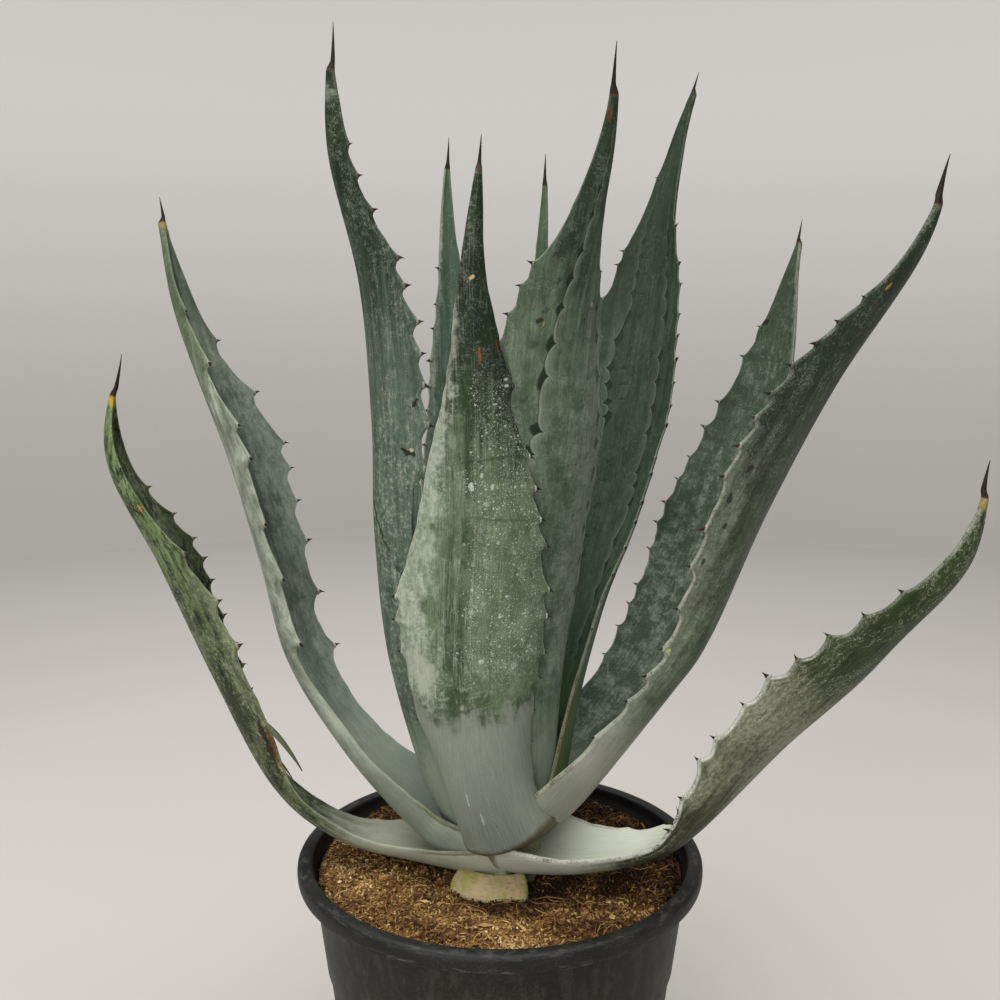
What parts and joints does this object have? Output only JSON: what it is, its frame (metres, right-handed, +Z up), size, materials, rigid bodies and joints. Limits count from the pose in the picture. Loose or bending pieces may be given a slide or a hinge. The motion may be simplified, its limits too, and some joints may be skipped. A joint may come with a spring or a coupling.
{
  "type": "potted century plant",
  "caption": "Succulent rosette of long grey-green, spine-tipped leaves with toothed margins, rooted in coir soil in a round dark plastic nursery pot.",
  "frame": {"origin": "centre of the pot's flat underside, on the surface that the pot stands on", "axes": "+Z up along the pot's axis, -Y towards the front of the plant, where its tallest front leaf stands, +X to the right seen from the front"},
  "size_m": [0.535, 0.4254, 0.7751],
  "materials": {
    "pot": "satin",
    "soil": "matte",
    "stem": "matte",
    "cut_leaf": "matte",
    "leaf": "satin"
  },
  "bodies": {
    "root": {"pot": "pot", "potting_soil": "soil", "stem": "stem", "cut_leaf_stub": "cut_leaf", "central_spear": "leaf", "leaf_front": "leaf", "leaf_right": "leaf", "leaf_left": "leaf", "leaf_low_right": "leaf", "leaf_tall_left": "leaf", "leaf_inner_right": "leaf", "leaf_tall_right": "leaf", "leaf_back_right": "leaf", "leaf_back_left": "leaf", "leaf_back_middle": "leaf", "leaf_low_left": "leaf", "leaf_low_back": "leaf", "leaf_low_back_left": "leaf"}
  },
  "joints": []
}
